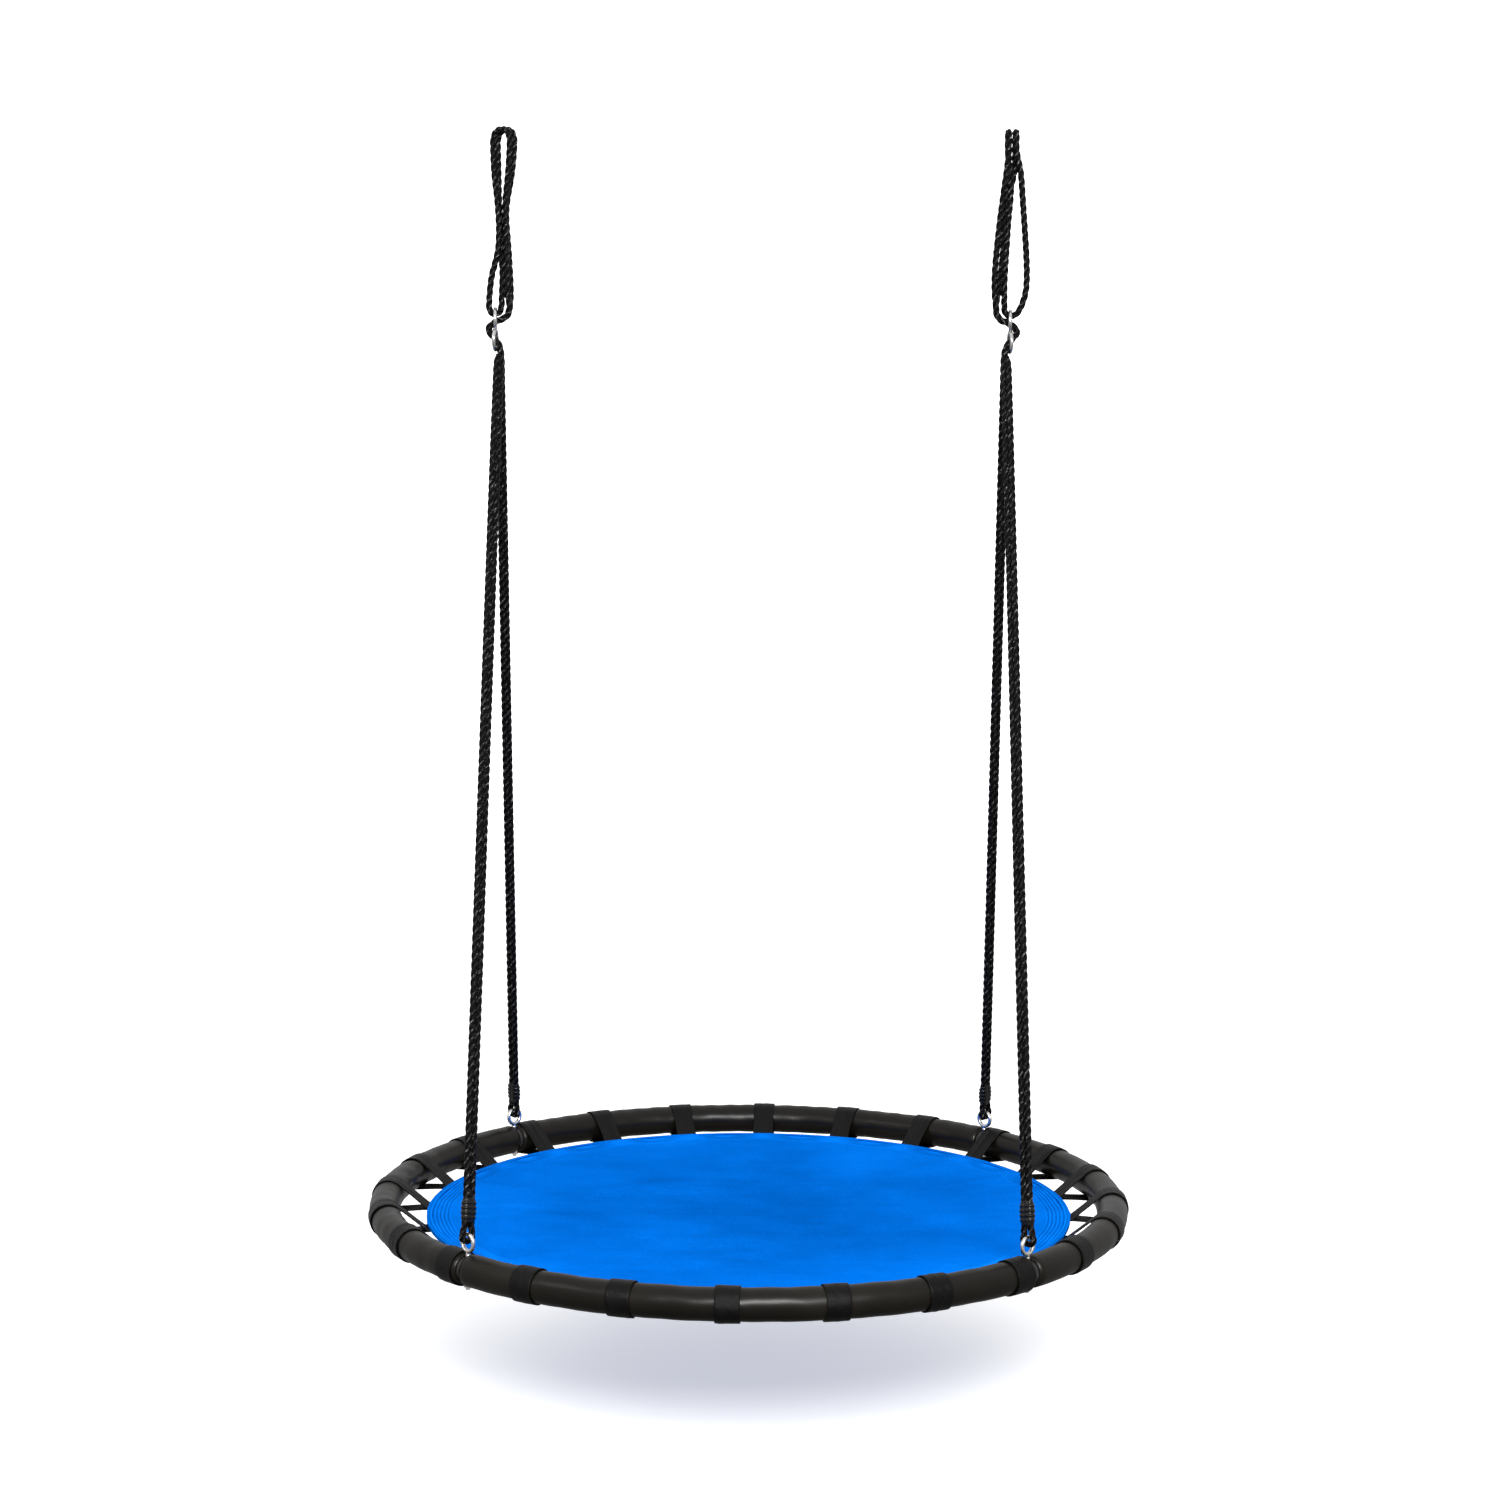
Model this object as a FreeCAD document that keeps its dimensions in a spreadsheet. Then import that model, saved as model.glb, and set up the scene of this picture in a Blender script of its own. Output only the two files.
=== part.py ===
import FreeCAD, Part
import Sketcher
import math
import os

V = FreeCAD.Vector
Rot = FreeCAD.Rotation
Pl = FreeCAD.Placement
doc = FreeCAD.newDocument("nest_swing")

# ---------------------------------------------------------------- dimensions (mm, degrees)
# Origin: midway between the two hanging points, on the top line of the hooks. +Z up, +X right, -Y front.
rows = [
    ("hang_height", "1394", "ring centre plane below the hanging points"),
    ("ring_radius", "480", "centreline radius of the ring"),
    ("tube_r", "15", "steel tube outside radius"),
    ("tube_ri", "13.5", "steel tube inside radius"),
    ("spigot_r", "13.3", "swaged end outside radius"),
    ("spigot_ri", "11.8", "swaged end inside radius"),
    ("tube_sweep", "89.8", "sweep of a full-size quarter tube"),
    ("tube_start", "-46.6", "start angle of a quarter tube"),
    ("spigot_sweep", "4.2", "sweep of the swaged end"),
    ("sleeve_r", "20", "foam sleeve outside radius"),
    ("sleeve_ri", "15.3", "foam sleeve inside radius"),
    ("sleeve_sweep", "89.16", "sweep of a sleeve, leaves 7 mm at each bolt"),
    ("relief_r", "7.2", "relief in the sleeve ends round washer and nut"),
    ("eye_r", "10.4", "eye bolt eye centreline radius"),
    ("eye_wire", "2.6", "eye bolt eye wire radius"),
    ("eye_height", "33.2", "eye centre above the ring plane"),
    ("shank_r", "3", "eye bolt shank radius"),
    ("shank_tip", "24.5", "shank tip below the ring plane"),
    ("bolt_hole_r", "3.2", "hole through the tubes"),
    ("washer_r", "6", "washer outside radius"),
    ("washer_t", "1.2", "washer thickness"),
    ("nut_af", "10", "nut across flats"),
    ("nut_h", "5", "nut height"),
    ("strap_w", "30", "webbing width"),
    ("strap_ri", "20.6", "webbing inside radius round the sleeve"),
    ("strap_ro", "22.2", "webbing outside radius round the sleeve"),
    ("strap_pitch", "15", "angle between webbing loops"),
    ("strap_first", "2.65", "first loop behind each bolt, degrees"),
    ("mat_r", "424", "fabric mat radius"),
    ("mat_t", "3", "fabric mat thickness, two layers"),
    ("mat_drop", "12", "mat edge below the ring plane"),
    ("mat_sag", "6", "sag of the mat centre"),
    ("rope_r", "4", "rope radius"),
    ("strand_off", "4.15", "half spacing of two ropes side by side"),
    ("link_x", "332", "adjuster plane from the middle"),
    ("link_drop", "249", "adjuster centre below the hanging points"),
    ("link_r", "13.25", "adjuster ring centreline radius"),
    ("link_wire", "2.25", "adjuster wire radius"),
    ("hang_in", "6.5", "hanging point inboard of the adjuster plane"),
    ("arch_r", "8", "rope centreline radius over the hook"),
    ("arch_wide_r", "15", "rope centreline radius over the hook, open loop"),
    ("clamp_h", "30", "clamp height"),
    ("clamp_r", "6.3", "clamp wall radius round each rope"),
    ("clamp_rib_r", "7.4", "clamp rib radius round each rope"),
    ("clamp_rib_h", "3.6", "clamp rib height"),
    ("clamp_pitch", "7.1", "clamp rib pitch"),
    ("clamp_up", "14", "clamp foot above the eye wire"),
    ("clamp_bore", "4.1", "clamp bore radius"),
]
sheet = doc.addObject("Spreadsheet::Sheet", "Dims")
for i, (name, value, note) in enumerate(rows, 1):
    sheet.set("A%d" % i, name)
    sheet.set("B%d" % i, value)
    sheet.setAlias("B%d" % i, name)
    sheet.set("C%d" % i, note)
doc.recompute()


def D(name):
    return float(sheet.get(name))


H = D("hang_height")
R = D("ring_radius")
BOLTS = {"front_left": 225.0, "front_right": 315.0, "back_right": 45.0, "back_left": 135.0}
QUARTERS = {"right": 0.0, "back": 90.0, "left": 180.0, "front": 270.0}
nodes = []


def keep(obj, label):
    obj.Label = label
    nodes.append(obj)
    return obj


def prim(kind, name, **bound):
    """A Part primitive; string values are expressions on the sheet, numbers are set."""
    o = doc.addObject(kind, name)
    for k, v in bound.items():
        if isinstance(v, str):
            o.setExpression(k, v)
        else:
            setattr(o, k, v)
    return o


def cut(name, base, tool):
    o = doc.addObject("Part::Cut", name)
    o.Base = base
    o.Tool = tool
    return o


def fuse(name, parts):
    o = doc.addObject("Part::MultiFuse", name)
    o.Shapes = parts
    return o


def about_z(deg, z=0.0):
    return Pl(V(0, 0, z), Rot(V(0, 0, 1), deg))


# ---------------------------------------------------------------- steel ring: four quarter tubes with swaged ends
def bore(name, deg, r, z0, z1):
    c = prim("Part::Cylinder", name, Radius=r, Height=z1 - z0)
    a = math.radians(deg)
    c.Placement = Pl(V(R * math.cos(a), R * math.sin(a), z0), Rot())
    return c


for q, deg in QUARTERS.items():
    t0 = D("tube_start")
    t1 = t0 + D("tube_sweep")
    shell = prim("Part::Torus", "tube_out_" + q, Radius1="Dims.ring_radius", Radius2="Dims.tube_r", Angle3="Dims.tube_sweep")
    shell.Placement = about_z(t0)
    # swaged end, plugged into the next quarter
    sp_o = prim("Part::Torus", "spigot_out_" + q, Radius1="Dims.ring_radius", Radius2="Dims.spigot_r", Angle3="Dims.spigot_sweep + 2")
    sp_o.Placement = about_z(t1 - 2)
    both = fuse("tube_solid_" + q, [shell, sp_o])
    core = prim("Part::Torus", "tube_in_" + q, Radius1="Dims.ring_radius", Radius2="Dims.tube_ri", Angle3="Dims.tube_sweep + 0.7")
    core.Placement = about_z(t0 - 1)
    wall = cut("tube_wall_" + q, both, core)
    sp_i = prim("Part::Torus", "spigot_in_" + q, Radius1="Dims.ring_radius", Radius2="Dims.spigot_ri", Angle3="Dims.spigot_sweep + 3")
    sp_i.Placement = about_z(t1 - 1.5)
    blank = cut("tube_blank_" + q, wall, sp_i)
    holes = fuse("tube_bores_" + q, [bore("hole_a_" + q, -45, D("bolt_hole_r"), -20, 20), bore("hole_b_" + q, 45, D("bolt_hole_r"), -20, 20)])
    t = cut("ring_tube_" + q, blank, holes)
    t.Placement = about_z(deg, -H)
    keep(t, "ring_tube_" + q)

# ---------------------------------------------------------------- foam sleeves, one per quarter, cut back at the bolts
for q, deg in QUARTERS.items():
    s0 = -D("sleeve_sweep") / 2
    o = prim("Part::Torus", "sleeve_out_" + q, Radius1="Dims.ring_radius", Radius2="Dims.sleeve_r", Angle3="Dims.sleeve_sweep")
    o.Placement = about_z(s0)
    i = prim("Part::Torus", "sleeve_in_" + q, Radius1="Dims.ring_radius", Radius2="Dims.sleeve_ri", Angle3="Dims.sleeve_sweep + 2")
    i.Placement = about_z(s0 - 1)
    w = cut("sleeve_wall_" + q, o, i)
    rel = fuse("relief_" + q, [bore("relief_a_" + q, -45, D("relief_r"), -26, -8), bore("relief_b_" + q, 45, D("relief_r"), -26, -8)])
    s = cut("sleeve_" + q, w, rel)
    s.Placement = about_z(deg, -H)
    keep(s, "ring_sleeve_" + q)

# ---------------------------------------------------------------- eye bolts, washers and nuts
for b, deg in BOLTS.items():
    a = math.radians(deg)
    eye = prim("Part::Torus", "eye_" + b, Radius1="Dims.eye_r", Radius2="Dims.eye_wire")
    # eye stands in the plane of the tangent and the vertical
    eye.Placement = Pl(V(0, 0, D("eye_height")), Rot(V(0, 1, 0), 90))
    shank = prim("Part::Cylinder", "shank_" + b, Radius="Dims.shank_r", Height="Dims.shank_tip + Dims.eye_height - Dims.eye_r")
    shank.Placement = Pl(V(0, 0, -D("shank_tip")), Rot())
    collar = prim("Part::Cone", "collar_" + b, Radius1=3.35, Radius2=2.3, Height=3.6)
    collar.Placement = Pl(V(0, 0, D("eye_height") - D("eye_r") - 4.4), Rot())
    bolt = fuse("eye_bolt_" + b, [eye, shank, collar])
    bolt.Placement = Pl(V(R * math.cos(a), R * math.sin(a), -H), Rot(V(0, 0, 1), deg))
    keep(bolt, "eye_bolt_" + b)


def body(label):
    b = doc.addObject("PartDesign::Body", "B_" + label)
    b.Label = label
    if hasattr(b, "AllowCompound"):
        b.AllowCompound = True
    return b


def origin(b, role):
    for f in b.Origin.OriginFeatures:
        if f.Role == role:
            return f


def sketch(b, role, name, up=0.0):
    s = b.newObject("Sketcher::SketchObject", name)
    s.AttachmentSupport = [(origin(b, role), "")]
    s.MapMode = "FlatFace"
    if up:
        s.AttachmentOffset = Pl(V(0, 0, up), Rot())
    return s


def poly(s, pts):
    ids = []
    n = len(pts)
    for k in range(n):
        p, q2 = pts[k], pts[(k + 1) % n]
        ids.append(s.addGeometry(Part.LineSegment(V(p[0], p[1], 0), V(q2[0], q2[1], 0)), False))
    for k in range(n):
        s.addConstraint(Sketcher.Constraint("Coincident", ids[k], 2, ids[(k + 1) % n], 1))
    return ids


def circle(s, x, y, expr, r):
    g = s.addGeometry(Part.Circle(V(x, y, 0), V(0, 0, 1), r), False)
    c = s.addConstraint(Sketcher.Constraint("Radius", g, r))
    s.setExpression("Constraints[%d]" % c, expr)
    if abs(x) > 1e-9:
        s.addConstraint(Sketcher.Constraint("DistanceX", -1, 1, g, 3, x))
    else:
        s.addConstraint(Sketcher.Constraint("PointOnObject", g, 3, -2))
    if abs(y) > 1e-9:
        s.addConstraint(Sketcher.Constraint("DistanceY", -1, 1, g, 3, y))
    else:
        s.addConstraint(Sketcher.Constraint("PointOnObject", g, 3, -1))
    return g


def pad(b, s, name, expr, mid=False):
    p = b.newObject("PartDesign::Pad", name)
    p.Profile = s
    p.setExpression("Length", expr)
    p.Midplane = mid
    return p


def ring_pattern(b, feat, name, sweep, count):
    p = b.newObject("PartDesign::PolarPattern", name)
    p.Originals = [feat]
    p.Axis = (origin(b, "Z_Axis"), [""])
    p.Angle = sweep
    p.Occurrences = count
    b.Tip = p
    return p


# washers: flat rings under the tube, one per bolt
w = body("washers")
s = sketch(w, "XY_Plane", "washer_ring")
circle(s, R, 0, "Dims.washer_r", D("washer_r"))
circle(s, R, 0, "Dims.shank_r + 0.2", D("shank_r") + 0.2)
p = pad(w, s, "washer_pad", "Dims.washer_t")
p.Reversed = True
ring_pattern(w, p, "washer_four", 360, 4)
w.Placement = Pl(V(0, 0, -H - D("tube_r") - 0.05), Rot(V(0, 0, 1), 45))
keep(w, "washers")

# nuts: hexagons under the washers
n = body("nuts")
s = sketch(n, "XY_Plane", "nut_hex")
c0 = D("nut_af") / math.sqrt(3)
poly(s, [(R + c0 * math.cos(math.radians(60 * k)), c0 * math.sin(math.radians(60 * k))) for k in range(6)])
circle(s, R, 0, "Dims.shank_r + 0.05", D("shank_r") + 0.05)
p = pad(n, s, "nut_pad", "Dims.nut_h")
p.Reversed = True
ring_pattern(n, p, "nut_four", 360, 4)
n.Placement = Pl(V(0, 0, -H - D("tube_r") - D("washer_t") - 0.1), Rot(V(0, 0, 1), 45))
keep(n, "nuts")


# ---------------------------------------------------------------- webbing loops: six per quarter
def tangent(px, py, r, upper):
    """Point where the line from (px, py) touches the circle of radius r at (R, 0)."""
    dx, dy = px - R, py
    d = math.hypot(dx, dy)
    base = math.atan2(dy, dx)
    turn = math.acos(r / d)
    a = base - turn if upper else base + turn
    return R + r * math.cos(a), r * math.sin(a), a


zt = -(D("mat_drop") + D("mat_t") / 2 + 1.0)     # top of the sewn tail
th = D("strap_ro") - D("strap_ri")
A_in = (428.5, zt)
B_in = (428.5, zt - 2 * th)
C_in = (433.0, zt - th)
for q, deg in QUARTERS.items():
    b = body("webbing_" + q)
    s = sketch(b, "XZ_Plane", "loop_" + q)
    ux, uy, ua = tangent(A_in[0], A_in[1], D("strap_ro"), True)
    lx, ly, la = tangent(B_in[0], B_in[1], D("strap_ro"), False)
    ua, la = math.atan2(uy, ux - R), math.atan2(ly, lx - R)
    ar = s.addGeometry(Part.ArcOfCircle(Part.Circle(V(R, 0, 0), V(0, 0, 1), D("strap_ro")), la, ua), False)
    chain = [(ux, uy), A_in, (402, zt), (402, zt - 2 * th), B_in, (lx, ly)]
    for k in range(5):
        s.addGeometry(Part.LineSegment(V(chain[k][0], chain[k][1], 0), V(chain[k + 1][0], chain[k + 1][1], 0)), False)
    ux, uy, ua = tangent(C_in[0], C_in[1], D("strap_ri"), True)
    lx, ly, la = tangent(C_in[0], C_in[1], D("strap_ri"), False)
    ua, la = math.atan2(uy, ux - R), math.atan2(ly, lx - R)
    s.addGeometry(Part.ArcOfCircle(Part.Circle(V(R, 0, 0), V(0, 0, 1), D("strap_ri")), la, ua), False)
    s.addGeometry(Part.LineSegment(V(ux, uy, 0), V(C_in[0], C_in[1], 0)), False)
    s.addGeometry(Part.LineSegment(V(C_in[0], C_in[1], 0), V(lx, ly, 0)), False)
    p = pad(b, s, "band_" + q, "Dims.strap_w", True)
    ring_pattern(b, p, "loops_" + q, 5 * D("strap_pitch"), 6)
    # the loop next to each bolt sits on its clockwise side
    b.Placement = about_z(deg + 45 - D("strap_first") - 5 * D("strap_pitch"), -H)
    keep(b, "webbing_" + q)

# ---------------------------------------------------------------- fabric mat and its edge binding
m = body("seat_mat")
s = sketch(m, "XZ_Plane", "mat_section")
e, t, g, mr = -D("mat_drop"), D("mat_t") / 2, D("mat_sag"), D("mat_r")
poly(s, [(0, e + t - g), (0.5 * mr, e + t - 0.72 * g), (0.85 * mr, e + t - 0.18 * g), (mr - 8, e + t), (mr, e + t), (mr, e - t), (mr - 8, e - t),
         (0.85 * mr, e - t - 0.18 * g), (0.5 * mr, e - t - 0.72 * g), (0, e - t - g)])
rv = m.newObject("PartDesign::Revolution", "mat_disc")
rv.Profile = s
rv.ReferenceAxis = (origin(m, "Z_Axis"), [""])
rv.Angle = 360
m.Placement = Pl(V(0, 0, -H), Rot())
keep(m, "seat_mat")

mb = body("mat_binding")
s = sketch(mb, "XZ_Plane", "binding_section")
o = D("mat_t") / 2 + 0.1
poly(s, [(mr - 6, e + o), (mr - 6, e + o + 0.8), (mr + 1.4, e + o + 0.8), (mr + 1.4, e - o - 0.8), (mr - 6, e - o - 0.8), (mr - 6, e - o), (mr + 0.3, e - o), (mr + 0.3, e + o)])
rv = mb.newObject("PartDesign::Revolution", "binding_ring")
rv.Profile = s
rv.ReferenceAxis = (origin(mb, "Z_Axis"), [""])
rv.Angle = 360
mb.Placement = Pl(V(0, 0, -H), Rot())
keep(mb, "mat_binding")


# ---------------------------------------------------------------- rope runs: straight runs joined by tangent arcs
def rope_path(pts, radii=None):
    """Edges through pts; each corner is an arc of the given radius, or 0.45 of the shorter run over tan(half turn)."""
    edges, made = [], []
    here = pts[0]
    for k in range(1, len(pts) - 1):
        a = (pts[k] - pts[k - 1])
        c = (pts[k + 1] - pts[k])
        la, lc = a.Length, c.Length
        a.normalize()
        c.normalize()
        turn = a.getAngle(c)
        if turn < 1e-4:
            continue
        want = radii[k] if radii and radii.get(k) else 0.45 * min(la, lc) / math.tan(turn / 2)
        back = want * math.tan(turn / 2)
        p0 = pts[k] - a * back
        p2 = pts[k] + c * back
        bis = (c - a)
        bis.normalize()
        mid = pts[k] + bis * (want / math.cos(turn / 2) - want)
        if (p0 - here).Length > 1e-4:
            edges.append(Part.LineSegment(here, p0).toShape())
        edges.append(Part.Arc(p0, mid, p2).toShape())
        made.append(want)
        here = p2
    edges.append(Part.LineSegment(here, pts[-1]).toShape())
    return Part.Wire(edges), made


def rope_solid(name, pts, radii=None):
    path, made = rope_path(pts, radii)
    first = (pts[1] - pts[0])
    first.normalize()
    section = Part.Wire([Part.Circle(pts[0], first, D("rope_r")).toShape()])
    tube = path.makePipeShell([section], True, True)
    want = math.pi * D("rope_r") ** 2 * path.Length
    print("%-28s length %.1f mm, volume ratio %.4f, radii %s" % (name, path.Length, tube.Volume / want, ["%.1f" % r for r in made]))
    if not tube.isValid() or abs(tube.Volume / want - 1) > 0.01:
        raise RuntimeError(name + " rope tube is wrong")
    return tube


def feature(label, shapes):
    f = doc.addObject("Part::Feature", label)
    f.Shape = shapes[0] if len(shapes) == 1 else Part.makeCompound(shapes)
    return keep(f, label)


OFF = D("strand_off")
LD = D("link_drop")
HI = D("hang_in")
for side, sx in (("left", -1.0), ("right", 1.0)):
    def P(u, y, z):
        """u inboard of the adjuster plane, y back, z up."""
        return V(sx * (D("link_x") - u), y, z)

    # figure-8 adjuster: two wire rings crossing at the waist
    up = prim("Part::Torus", "link_up_" + side, Radius1="Dims.link_r", Radius2="Dims.link_wire")
    up.Placement = Pl(V(0, 0, D("link_r")), Rot(V(0, 0, 1), -5 * sx) * Rot(V(0, 1, 0), 90))
    lo = prim("Part::Torus", "link_lo_" + side, Radius1="Dims.link_r", Radius2="Dims.link_wire")
    lo.Placement = Pl(V(0, 0, -D("link_r")), Rot(V(0, 0, 1), 5 * sx) * Rot(V(0, 1, 0), 90))
    link = fuse("adjuster_" + side, [up, lo])
    link.Placement = Pl(V(sx * D("link_x"), 0, -LD), Rot())
    keep(link, "adjuster_" + side)

    # hitch: two ropes up through the lower eye, round the waist and out through the upper eye
    hitch = []
    for y in (-OFF, OFF):
        pts = [P(7.6, y, -LD - 34), P(7.6, y, -LD - 24), P(0, y, -LD - 12.3), P(-11.3, y, -LD - 0.6), P(0, y, -LD + 10.2), P(13.0, y, -LD + 14.2), P(18.0, y, -LD + 22)]
        hitch.append(rope_solid("hitch_" + side, pts, {3: 6.6}))
    feature("rope_hitch_" + side, hitch)

    # upper loop: two ropes up one side of the hook, one rope down, under the adjuster wire and up again
    zl = -222.5 + 249 - LD
    if side == "left":
        ups = [[(20.6, -12.8, -19), (17.9, -8.8, -54), (13.2, -4.3, -90), (14.2, -4.2, -117), (14.8, -4.2, -142), (14.6, -4.0, -165),
                (14.5, -4.0, -180), (15.6, -4.15, -204), (19.0, -4.15, -216.5)],
               [(25.9, -6.5, -19), (22.1, -1.6, -54), (14.2, 4.5, -90), (14.4, 4.3, -117), (17.0, 4.2, -142), (18.2, 4.2, -165),
                (19.2, 4.2, -180), (20.0, 4.15, -204), (19.0, 4.15, -216.5)]]
        downs = [[(-2.4, 6.5, -19), (-0.6, 1.2, -54), (4.6, -4.2, -90), (5.6, -4.2, -117), (6.0, -4.2, -142), (0.5, -3.6, -165),
                  (-4.2, -3.0, -180), (-7.2, -1.8, -204), (-8.4, -0.6, zl - 6.85)],
                 [(3.0, 12.8, -19), (4.2, 8.8, -54), (4.9, 4.5, -90), (5.9, 4.4, -117), (7.6, 4.6, -142), (8.8, 4.2, -165),
                  (9.4, 3.8, -180), (8.6, 1.8, -204), (7.8, 0.6, zl - 6.85)]]
    else:
        ups = [[(5.5, -8.0, -4), (5.5, -8.0, -22), (7.5, -6.5, -45), (11.5, -5.0, -75), (15.3, -4.2, -107), (19.2, -4.15, -144),
                (21.6, -4.15, -181), (20.8, -4.15, -204), (19.0, -4.15, -216.5)],
               [(-4.0, 8.0, -4), (-4.0, 8.0, -22), (-4.0, 8.0, -45), (3.5, 6.5, -75), (8.0, 4.9, -107), (10.0, 4.8, -144),
                (12.5, 4.9, -181), (16.5, 4.6, -204), (19.0, 4.15, -216.5)]]
        downs = [[(-4.0, -8.0, -4), (-4.0, -8.0, -22), (-10.5, -6.0, -45), (-13.0, -4.0, -75), (-15.8, -2.5, -107), (-19.0, -1.5, -144),
                  (-20.8, -1.2, -181), (-19.0, -0.8, -204), (-8.4, -0.6, zl - 6.85)],
                 [(5.5, 8.0, -4), (5.5, 8.0, -22), (2.6, 1.5, -45), (1.3, -2.6, -75), (4.8, -3.8, -107), (6.5, -3.8, -144),
                  (8.6, -3.4, -181), (8.4, -1.8, -204), (7.8, 0.6, zl - 6.85)]]
    loops = [rope_solid("loop_up_" + side, [P(*q) for q in line]) for line in ups]
    pts = [P(*q) for q in downs[0] + downs[1][::-1]]
    n_out = len(downs[0])
    loops.append(rope_solid("loop_hook_" + side, pts, {n_out - 1: 7.3, n_out: 7.3}))
    feature("rope_loop_" + side, loops)

    # bights over the hook
    bights = []
    for y in (-OFF, OFF):
        if side == "left":
            ar, half, turn = D("arch_wide_r"), math.radians(50), math.radians(-40)
            cu, cy = 11.75 - y * math.sin(turn), y * math.cos(turn)
            au, ay = math.cos(turn), math.sin(turn)
        else:
            ar, half = D("arch_r"), math.radians(38)
            cu, cy = 0.75 - y * 4.75 / OFF, 0.0
            au, ay = 0.0, 1.0

        def arch(a):
            off = ar * math.sin(a)
            return P(cu + au * off, cy + ay * off, 4 - ar + ar * math.cos(a))
        path = Part.Wire([Part.Arc(arch(-half), arch(0), arch(half)).toShape()])
        d0 = arch(-half + 0.001) - arch(-half)
        d0.normalize()
        tube = path.makePipeShell([Part.Wire([Part.Circle(arch(-half), d0, D("rope_r")).toShape()])], True, True)
        bights.append(tube)
    feature("rope_bight_" + side, bights)

    # legs: each rope runs down, under the wire of its eye bolt and back up beside itself
    for fb, sy in (("front", -1.0), ("back", 1.0)):
        name = fb + "_" + side
        er = V(sx, sy, 0)
        er.normalize()
        wire = V(er.x * R, er.y * R, -H + D("eye_height") + D("eye_r"))
        live = P(7.6, sy * OFF, -LD - 34)
        # axis of the pair: the live rope is on the inner side
        axis_top = live + er * OFF
        d = axis_top - wire
        d.normalize()
        e = er - d * er.dot(d)
        e.normalize()
        axis_top = live + e * OFF
        L = (axis_top - wire).dot(d)
        top = wire + d * L

        def Q(wd, sd):
            return wire + e * wd + d * sd

        et = V(-er.y, er.x, 0)

        def B(wd, sd):
            q = Q(wd, sd)
            return q - et * (q - wire).dot(et)
        foot_bend = D("clamp_up") - 3.2
        pts = [live - d * 1.3, Q(-OFF, foot_bend), B(-9.9, -8.1), B(9.9, -8.1), Q(OFF, foot_bend), Q(OFF, L - 3)]
        leg = rope_solid("leg_" + name, pts, {1: 20.0, 2: 7.6, 3: 7.6, 4: 20.0})
        feature("rope_leg_" + name, [leg])

        # clamp: two bores side by side in a ribbed plastic block
        cb = body("rope_clamp_" + name)
        s1 = sketch(cb, "XY_Plane", "block_" + name)

        def slot(s, r):
            s.addGeometry(Part.ArcOfCircle(Part.Circle(V(OFF, 0, 0), V(0, 0, 1), r), -math.pi / 2, math.pi / 2), False)
            s.addGeometry(Part.LineSegment(V(OFF, r, 0), V(-OFF, r, 0)), False)
            s.addGeometry(Part.ArcOfCircle(Part.Circle(V(-OFF, 0, 0), V(0, 0, 1), r), math.pi / 2, 3 * math.pi / 2), False)
            s.addGeometry(Part.LineSegment(V(-OFF, -r, 0), V(OFF, -r, 0)), False)
        slot(s1, D("clamp_r"))
        pad(cb, s1, "block_pad_" + name, "Dims.clamp_h")
        s2 = sketch(cb, "XY_Plane", "rib_" + name, 2.6)
        slot(s2, D("clamp_rib_r"))
        rib = pad(cb, s2, "rib_pad_" + name, "Dims.clamp_rib_h")
        lp = cb.newObject("PartDesign::LinearPattern", "ribs_" + name)
        lp.Originals = [rib]
        lp.Direction = (origin(cb, "Z_Axis"), [""])
        lp.Length = 3 * D("clamp_pitch")
        lp.Occurrences = 4
        s3 = sketch(cb, "XY_Plane", "bores_" + name)
        circle(s3, OFF, 0, "Dims.clamp_bore", D("clamp_bore"))
        circle(s3, -OFF, 0, "Dims.clamp_bore", D("clamp_bore"))
        pk = cb.newObject("PartDesign::Pocket", "bore_cut_" + name)
        pk.Profile = s3
        pk.Type = 1
        pk.Midplane = True
        cb.Tip = pk
        foot = Q(0, D("clamp_up"))
        cb.Placement = Pl(foot, Rot(e, V(0, 0, 0), d, "ZXY"))
        keep(cb, "rope_clamp_" + name)

doc.recompute()

# ---------------------------------------------------------------- checks and export
for o in doc.Objects:
    if "Invalid" in o.State or "Error" in o.State:
        raise RuntimeError("%s (%s) is in state %s" % (o.Label, o.TypeId, o.State))
os.makedirs("parts", exist_ok=True)
for o in nodes:
    if o.Shape.isNull() or not o.Shape.isValid():
        raise RuntimeError(o.Label + " has no valid shape")
    print("%-30s solids %2d  volume %10.1f mm3" % (o.Label, len(o.Shape.Solids), o.Shape.Volume))
    o.Shape.exportStep("parts/%s.step" % o.Label)
print(len(nodes), "nodes")
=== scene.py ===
import math
import random

import bpy
import numpy as np
from mathutils import Vector, Matrix


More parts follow.
